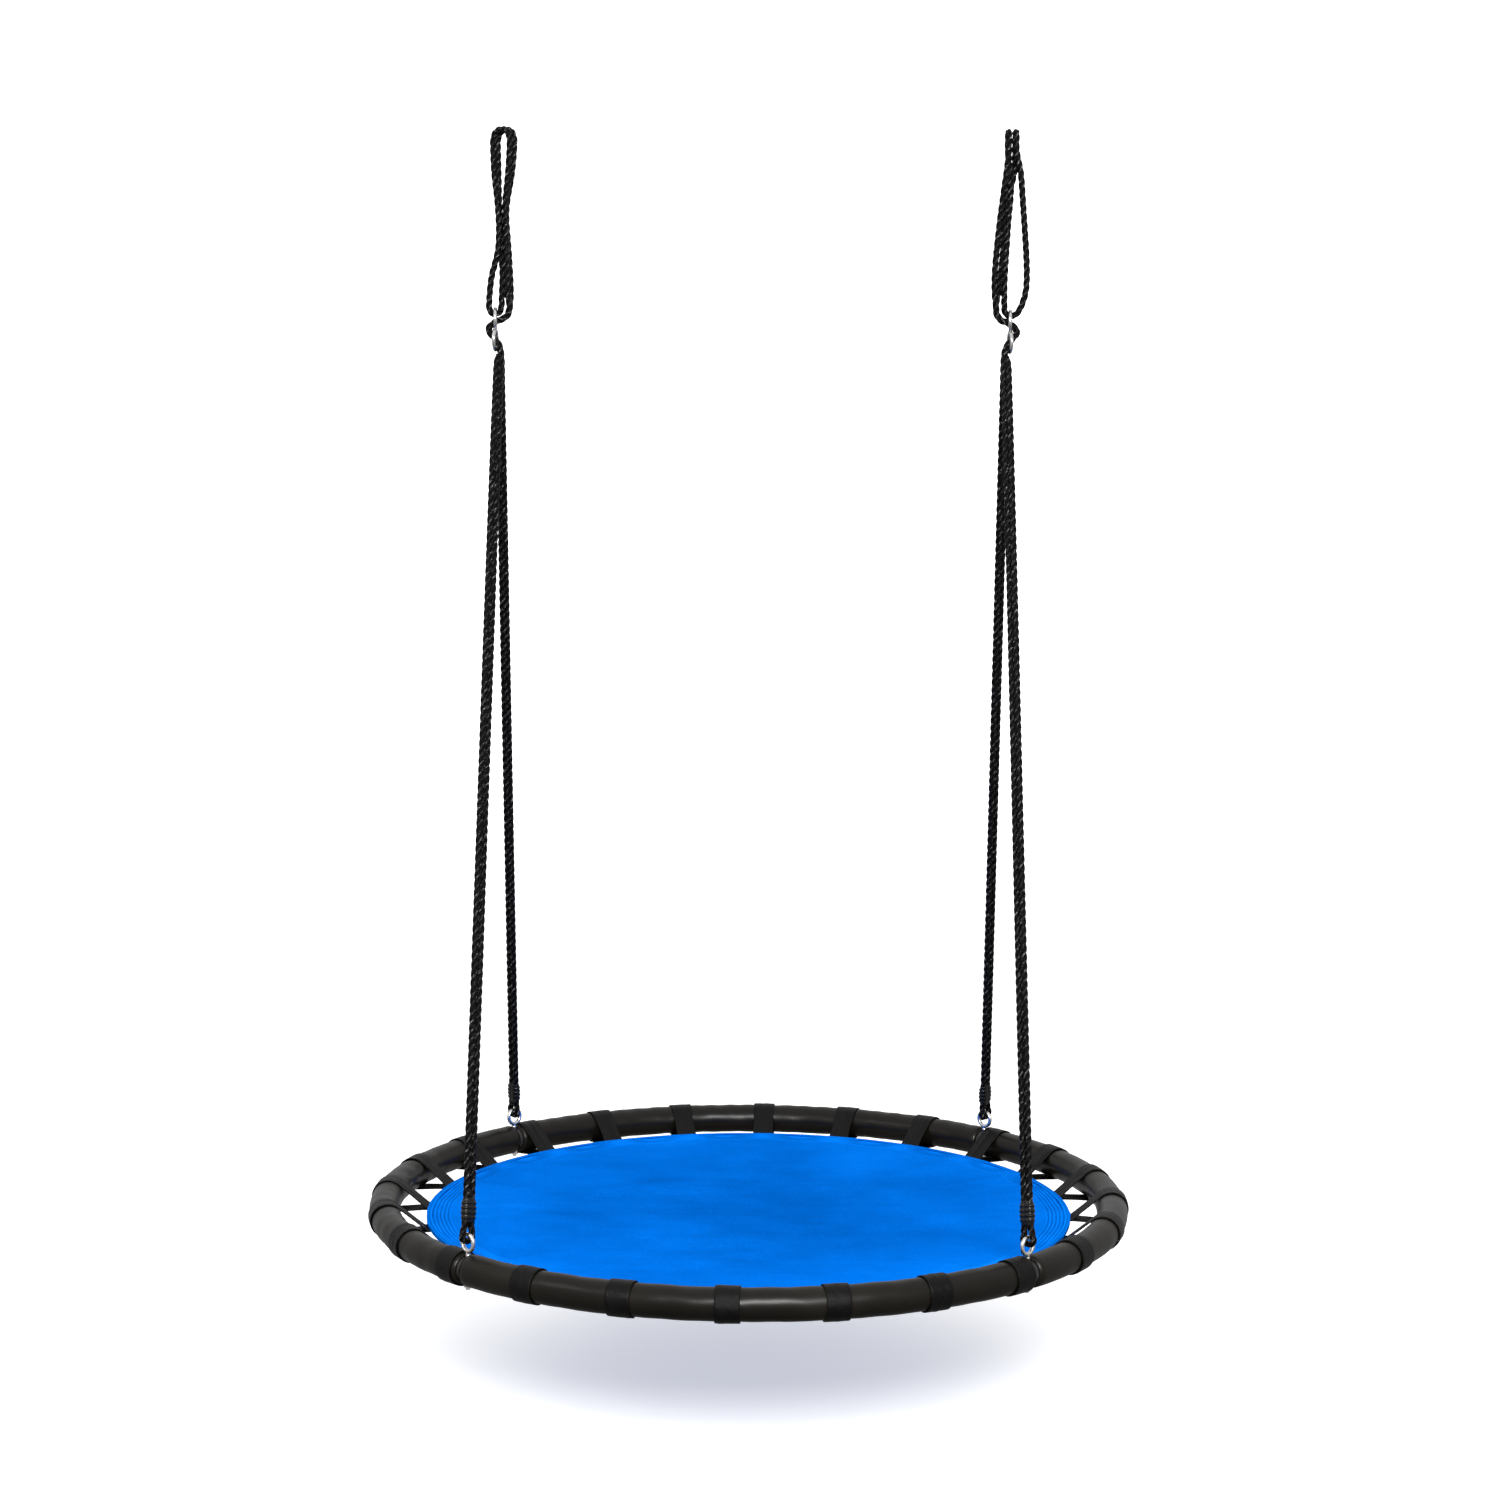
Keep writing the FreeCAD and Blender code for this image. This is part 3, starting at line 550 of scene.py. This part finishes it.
# ------------------------------------------------------------------ rope clamps
def clamp(fb, side, wire, d, e):
    """Moulded barrel pressed round both ropes: rounded ends, a groove down the middle and four ribs each side of it."""
    f = d.cross(e)
    n, m = 60, 64
    verts, faces = [], []
    for i in range(n + 1):
        t = i / n
        h = 0.0142 + 0.0296 * t
        swell = 0.80 + 0.20 * min(1, math.sin(math.pi * t) ** 0.55 if 0 < t < 1 else 0)
        for k in range(m):
            a = 2 * math.pi * k / m
            ca, sa = math.cos(a), math.sin(a)
            x = 0.0102 * math.copysign(abs(ca) ** 0.85, ca)
            y = 0.0066 * math.copysign(abs(sa) ** 0.85, sa)
            groove = math.exp(-(x / 0.0016) ** 2)
            rib = 0.0
            for c in (0.20, 0.40, 0.60, 0.80):
                rib += math.exp(-((t - c) / 0.048) ** 2)
            grow = 1 + (0.115 * rib * (1 - 0.85 * groove) - 0.10 * groove)
            g = swell * (grow - 0.06)
            p = wire + d * h + e * (x * g) + f * (y * g)
            verts.append(tuple(p))
    for i in range(n):
        for k in range(m):
            k2 = (k + 1) % m
            faces.append((i * m + k, i * m + k2, (i + 1) * m + k2, (i + 1) * m + k))
    for end in (0, 1):
        c = len(verts)
        verts.append(tuple(wire + d * (0.0142 + 0.0296 * end)))
        base = end * n * m
        for k in range(m):
            k2 = (k + 1) % m
            faces.append((c, base + k2, base + k) if end == 0 else (c, base + k, base + k2))
    ob = new_mesh("clamp_%s_%s" % (fb, side), verts, faces, PLASTIC)
    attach(ob, side + "_hanger")
    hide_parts("rope_clamp_%s_%s" % (fb, side))


for c in CLAMPS:
    clamp(*c)

# ------------------------------------------------------------------ foam sleeves
rng = random.Random(7)


def sleeve(name, node, mid_deg):
    half = 89.16 / 2
    n, m = 150, 40
    amps = [(rng.uniform(0.10, 0.30) / 1000, rng.randint(2, 9), rng.uniform(0, 6.28), rng.choice((-1, 1)) * rng.randint(0, 3)) for _ in range(7)]
    verts, faces, fuv = [], [], []
    for i in range(n + 1):
        a = -half + 2 * half * i / n
        end = min(i, n - i) / n * 2 * half * R * math.pi / 180     # metres from the nearer end
        lip = 1.0
        if end < 0.003:
            lip = 0.90 + 0.10 * math.sqrt(max(0.0, 1 - (1 - end / 0.003) ** 2))
        ar = math.radians(a + mid_deg)
        for k in range(m):
            b = 2 * math.pi * k / m
            rr = 0.020 * lip
            for amp, fa, ph, fb in amps:
                rr += amp * 0.5 * math.sin(fa * 6 * a / 90 * math.pi + ph + fb * b)
            rr = min(rr, 0.0203)
            verts.append(((R + rr * math.cos(b)) * math.cos(ar), (R + rr * math.cos(b)) * math.sin(ar), rr * math.sin(b) - H))
    for i in range(n):
        for k in range(m):
            k2 = (k + 1) % m
            faces.append((i * m + k, i * m + k2, (i + 1) * m + k2, (i + 1) * m + k))
    # end faces, down to the steel tube
    for end, base in ((0, 0), (n, n * m)):
        ar = math.radians((-half if end == 0 else half) + mid_deg)
        start = len(verts)
        for k in range(m):
            b = 2 * math.pi * k / m
            verts.append(((R + 0.0153 * math.cos(b)) * math.cos(ar), (R + 0.0153 * math.cos(b)) * math.sin(ar), 0.0153 * math.sin(b) - H))
        for k in range(m):
            k2 = (k + 1) % m
            if end == 0:
                faces.append((base + k2, base + k, start + k, start + k2))
            else:
                faces.append((base + k, base + k2, start + k2, start + k))
    ob = new_mesh(name, verts, faces, SLEEVE)
    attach(ob, "seat")
    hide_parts(node)
    return ob


QUARTERS = {"right": 0.0, "back": 90.0, "left": 180.0, "front": 270.0}
for q, deg in QUARTERS.items():
    sleeve("sleeve_" + q, "ring_sleeve_" + q, deg)


# ------------------------------------------------------------------ webbing loops
def tangent(px, py, r, upper):
    dx, dy = px - 480.0, py
    d = math.hypot(dx, dy)
    base = math.atan2(dy, dx)
    turn = math.acos(r / d)
    a = base - turn if upper else base + turn
    return 480.0 + r * math.cos(a), r * math.sin(a)


def strap_line():
    """Middle line of the webbing in the radial plane, millimetres: tail, up over the ring, round and back."""
    zt = -14.5
    rm = 21.4
    A, B = (428.5, zt - 0.8), (428.5, zt - 2.4)
    ux, uy = tangent(A[0], A[1], rm, True)
    lx, ly = tangent(B[0], B[1], rm, False)
    a0, a1 = math.atan2(uy, ux - 480), math.atan2(ly, lx - 480)
    pts = []
    for t in np.linspace(0, 1, 6)[:-1]:
        pts.append((402.5 + (A[0] - 402.5) * t, A[1], 0.0))
    for t in np.linspace(0, 1, 16)[:-1]:
        pts.append((A[0] + (ux - A[0]) * t, A[1] + (uy - A[1]) * t, math.sin(math.pi * min(1, t * 1.25) * 0.5) * (1 - 0.3 * t)))
    for t in np.linspace(0, 1, 40)[:-1]:
        a = a0 + (a1 - a0) * t
        pts.append((480 + rm * math.cos(a), rm * math.sin(a), 0.45 * (1 - math.sin(math.pi * t)) + 0.12))
    for t in np.linspace(0, 1, 16)[:-1]:
        pts.append((lx + (B[0] - lx) * t, ly + (B[1] - ly) * t, 0.7))
    for t in np.linspace(0, 1, 6):
        pts.append((B[0] + (402.5 - B[0]) * t, B[1], 0.0))
    return pts


STRAP = strap_line()


def strap_geometry(angle_deg, seed):
    r = random.Random(seed)
    width = 30.0
    th = 1.5
    n_w = 17
    creases = [(r.uniform(-0.36, 0.36), r.uniform(0.05, 0.10), r.uniform(0.45, 1.15) * r.choice((1, 1, -0.6))) for _ in range(r.choice((1, 2, 2, 3)))]
    pinch = r.uniform(0.03, 0.13)
    skew = r.uniform(-2.2, 2.2)
    P = np.array([(p[0], p[1]) for p in STRAP])
    free = np.array([p[2] for p in STRAP])
    T = np.gradient(P, axis=0)
    T /= np.linalg.norm(T, axis=1)[:, None]
    N = np.stack([-T[:, 1], T[:, 0]], 1)        # up and outwards on the upper run
    s = np.r_[0, np.cumsum(np.linalg.norm(np.diff(P, axis=0), axis=1))]
    rows = []
    for i in range(len(P)):
        k = np.clip((470 - P[i, 0]) / 42, 0, 1)          # 0 on the ring, 1 at the mat
        w = width * (1 - pinch * math.sin(math.pi * min(1, k * 0.9)) * (1 if free[i] > 0 else 0.4))
        for j in range(n_w):
            f = j / (n_w - 1) - 0.5
            off = 0.0
            for c, cw, amp in creases:
                off += amp * math.exp(-((f - c) / cw) ** 2) * free[i]
            off += 0.35 * free[i] * math.cos(f * math.pi * 2) * 0.5
            rows.append((P[i, 0] + N[i, 0] * off, f * w + skew * (1 - k) * 0.5, P[i, 1] + N[i, 1] * off, f * w, s[i], N[i, 0], N[i, 1]))
    rows = np.array(rows)
    verts, uv = [], []
    a = math.radians(angle_deg)
    ca, sa = math.cos(a), math.sin(a)
    for sgn in (1, -1):
        x = rows[:, 0] + rows[:, 5] * th / 2 * sgn
        z = rows[:, 2] + rows[:, 6] * th / 2 * sgn
        y = rows[:, 1]
        # follow the ring's own curve across the width
        xr = x - (y ** 2) / (2 * 480.0) * 0.6
        X = (xr * ca - y * sa) / 1000
        Y = (xr * sa + y * ca) / 1000
        verts.append(np.stack([X, Y, z / 1000 - H], 1))
        uv.append(np.stack([rows[:, 3] / 1000 + seed * 0.1, rows[:, 4] / 1000], 1))
    verts = np.concatenate(verts)
    uv = np.concatenate(uv)
    n_l = len(P)
    base = n_l * n_w
    faces = []
    for i in range(n_l - 1):
        for j in range(n_w - 1):
            q = (i * n_w + j, i * n_w + j + 1, (i + 1) * n_w + j + 1, (i + 1) * n_w + j)
            faces.append(q)
            faces.append(tuple(base + v for v in reversed(q)))
        for j in (0, n_w - 1):
            q = (i * n_w + j, (i + 1) * n_w + j, base + (i + 1) * n_w + j, base + i * n_w + j)
            faces.append(q if j == 0 else tuple(reversed(q)))
    for i in (0, n_l - 1):
        for j in range(n_w - 1):
            q = (i * n_w + j, base + i * n_w + j, base + i * n_w + j + 1, i * n_w + j + 1)
            faces.append(q if i == 0 else tuple(reversed(q)))
    return verts, faces, uv


for q, deg in QUARTERS.items():
    V_, F_, U_ = [], [], []
    for k in range(6):
        ang = deg + 45 - 2.65 - 15 * k
        v, f, u = strap_geometry(ang, int(deg) + k + 3)
        off = sum(len(x) for x in V_)
        V_.append(v)
        U_.append(u)
        F_ += [tuple(i + off for i in face) for face in f]
    ob = new_mesh("webbing_loops_" + q, np.concatenate(V_), F_, WEB, True, np.concatenate(U_))
    ob.data.polygons.foreach_set("use_smooth", [True] * len(ob.data.polygons))
    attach(ob, "seat")
    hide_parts("webbing_" + q)


# ------------------------------------------------------------------ fabric mat
STRAP_ANGLES = [math.radians(deg + 45 - 2.65 - 15 * k) for deg in QUARTERS.values() for k in range(6)]


def mat_mesh():
    nt = 24 * 30
    radii = list(np.linspace(0, 0.385, 64)[1:]) + list(np.linspace(0.385, 0.4255, 66)[1:])
    r = random.Random(11)
    waves = [(r.uniform(3, 11), r.uniform(0, math.pi * 2), r.uniform(0, math.pi * 2), r.uniform(0.25, 0.9)) for _ in range(12)]
    ridges = [(r.uniform(-0.03, 0.03), r.uniform(0.6, 1.3), r.uniform(0.05, 0.12)) for _ in STRAP_ANGLES]

    def pull(th):
        """1 at a strap, 0 midway between two."""
        best = 1e9
        for sa in STRAP_ANGLES:
            d = abs((th - sa + math.pi) % (2 * math.pi) - math.pi)
            best = min(best, d)
        return math.cos(min(1.0, best / math.radians(7.6)) * math.pi) * 0.5 + 0.5
    pulls = [pull(2 * math.pi * i / nt) for i in range(nt)]

    def z_at(rr, th, p):
        k = rr / 0.4255
        z = -0.012 - 0.006 * (1 - k ** 1.8)
        # shallow folds of slack cloth in the middle
        w = 0.0
        for f, ph, dr, amp in waves:
            w += amp * math.sin(f * 8 * (rr * math.cos(th - dr)) + ph)
        z += 0.00042 * w * (1 - k ** 3)
        # tension folds that run in from each strap
        e = max(0.0, (k - 0.62) / 0.38)
        z += (0.0016 * e ** 1.6) * (p - 0.45)
        for sa, (dth, amp, wid) in zip(STRAP_ANGLES, ridges):
            d = (th - sa - dth + math.pi) % (2 * math.pi) - math.pi
            if abs(d) < 0.12:
                z += 0.0009 * amp * math.exp(-(d / (0.022 + 0.03 * (1 - k))) ** 2) * max(0.0, (k - 0.55) / 0.45) ** 0.8 * (1 - max(0, (k - 0.93) / 0.07) * 0.6)
        if 0.390 < rr < 0.4235:
            z += 0.0005 * math.cos(2 * math.pi * (rr - RIDGE0) / RIDGE) * min(1, (rr - 0.390) / 0.004, (0.4235 - rr) / 0.002)
        return z

    verts = [(0, 0, z_at(0, 0, 0))]
    for rr in radii:
        for i in range(nt):
            th = 2 * math.pi * i / nt
            p = pulls[i]
            e = max(0.0, (rr / 0.4255 - 0.85) / 0.15)
            r_eff = rr - 0.0042 * (1 - p) * e ** 2
            verts.append((r_eff * math.cos(th), r_eff * math.sin(th), z_at(rr, th, p)))
    top = len(verts)
    th_c = 0.0026
    faces = []
    for i in range(nt):
        faces.append((0, 1 + i, 1 + (i + 1) % nt))
    for j in range(len(radii) - 1):
        a, b = 1 + j * nt, 1 + (j + 1) * nt
        for i in range(nt):
            i2 = (i + 1) % nt
            faces.append((a + i, b + i, b + i2, a + i2))
    # underside and rolled rim
    verts += [(x, y, z - th_c) for x, y, z in verts[:top]]
    nf = len(faces)
    faces += [tuple(v + top for v in reversed(f)) for f in faces[:nf]]
    last = 1 + (len(radii) - 1) * nt
    rim = len(verts)
    for i in range(nt):
        x, y, z = verts[last + i]
        d = math.hypot(x, y)
        g = (d + 0.0011) / d
        verts.append((x * g, y * g, z - th_c / 2))
    for i in range(nt):
        i2 = (i + 1) % nt
        faces.append((last + i, rim + i, rim + i2, last + i2))
        faces.append((rim + i, last + top + i, last + top + i2, rim + i2))
    verts = [(x, y, z - H + 0.0013) for x, y, z in verts]
    return verts, faces


mv, mf = mat_mesh()
mat_ob = new_mesh("mat_cloth", mv, mf, MATM)
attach(mat_ob, "seat")
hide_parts("seat_mat")
dress("mat_binding", MATM)

# ------------------------------------------------------------------ floor, backdrop and light
def studio_material():
    m = Mat("studio_floor", Roughness=1.0)
    m.b.inputs["Specular IOR Level"].default_value = 0.0
    v = m.coords("Object")
    sep = m.n("ShaderNodeSeparateXYZ")
    m.link(v, sep.inputs[0])
    rad = m.math("SQRT", m.math("ADD", m.math("MULTIPLY", sep.outputs[0], sep.outputs[0]), m.math("MULTIPLY", sep.outputs[1], sep.outputs[1])))
    wall = m.maprange(rad, 3.0, 6.0, 0.0, 1.0)
    grain = m.noise(v, 1.5, 2, 0.5)
    m.out(Base_Color=m.ramp(grain, [(0.3, (0.90, 0.90, 0.90)), (0.7, (0.92, 0.92, 0.92))]))
    m.b.inputs["Emission Color"].default_value = (1, 1, 1, 1)
    m.out(Emission_Strength=m.maprange(wall, 0.0, 1.0, 0.47, 1.2))
    return m.m


FLOOR = -H - 0.242
prof = [(r, 0.0) for r in (0.0, 1.0, 2.0, 3.0, 4.0, 5.0, 6.0)]
prof += [(6.0 + 3.0 * math.sin(a), 3.0 - 3.0 * math.cos(a)) for a in np.linspace(0, math.pi / 2, 14)[1:]]
prof += [(9.0 * math.cos(a), 3.0 + 9.0 * math.sin(a)) for a in np.linspace(0, math.pi / 2, 16)[1:-1]]
seg_n = 96
sv, sf = [(0, 0, FLOOR)], []
for r, z in prof[1:]:
    sv += [(r * math.cos(2 * math.pi * k / seg_n), r * math.sin(2 * math.pi * k / seg_n), FLOOR + z) for k in range(seg_n)]
for k in range(seg_n):
    sf.append((0, 1 + k, 1 + (k + 1) % seg_n))
for j in range(len(prof) - 2):
    for k in range(seg_n):
        k2 = (k + 1) % seg_n
        sf.append((1 + j * seg_n + k, 1 + (j + 1) * seg_n + k, 1 + (j + 1) * seg_n + k2, 1 + j * seg_n + k2))
topc = len(sv)
sv.append((0, 0, FLOOR + 12.0))
for k in range(seg_n):
    sf.append((topc, 1 + (len(prof) - 2) * seg_n + (k + 1) % seg_n, 1 + (len(prof) - 2) * seg_n + k))
studio = new_mesh("studio_cove", sv, sf, studio_material())
studio.visible_diffuse = False
studio.visible_glossy = False
studio.visible_transmission = False
studio.visible_shadow = False

w = bpy.data.worlds.new("studio")
scene.world = w
w.use_nodes = True
wt = w.node_tree
bgn = wt.nodes["Background"]
tc = wt.nodes.new("ShaderNodeTexCoord")
sp = wt.nodes.new("ShaderNodeSeparateXYZ")
rp = wt.nodes.new("ShaderNodeValToRGB")
mr = wt.nodes.new("ShaderNodeMapRange")
wt.links.new(tc.outputs["Generated"], sp.inputs[0])
mr.inputs["From Min"].default_value = -1.0
mr.inputs["From Max"].default_value = 1.0
wt.links.new(sp.outputs[2], mr.inputs["Value"])
wt.links.new(mr.outputs["Result"], rp.inputs["Fac"])
e = rp.color_ramp.elements
for pos, val in ((0.0, 0.14), (0.25, 0.07), (0.44, 0.02), (0.52, 0.07), (0.75, 0.45), (1.0, 1.0)):
    el = e[0] if pos == 0.0 else (e[1] if pos == 1.0 else e.new(pos))
    el.position = pos
    el.color = (val, val, val, 1)
wt.links.new(rp.outputs["Color"], bgn.inputs["Color"])
bgn.inputs["Strength"].default_value = 0.95


def area(name, loc, target, size, power, size_y=None):
    d = bpy.data.lights.new(name, "AREA")
    d.energy = power
    d.size = size
    if size_y:
        d.shape = "RECTANGLE"
        d.size_y = size_y
    o = bpy.data.objects.new(name, d)
    col.objects.link(o)
    o.location = loc
    o.rotation_euler = (Vector(target) - Vector(loc)).to_track_quat("-Z", "Y").to_euler()
    return o


area("key_front", (0.25, -3.6, 0.60), (0, 0, -1.2), 1.5, 168, 0.9)
area("side_left", (-2.8, -1.6, 0.9), (0, 0, -0.9), 1.0, 11)

scene.view_settings.view_transform = "Standard"
scene.view_settings.look = "None"
scene.view_settings.exposure = 0.0
scene.view_settings.gamma = 1.0
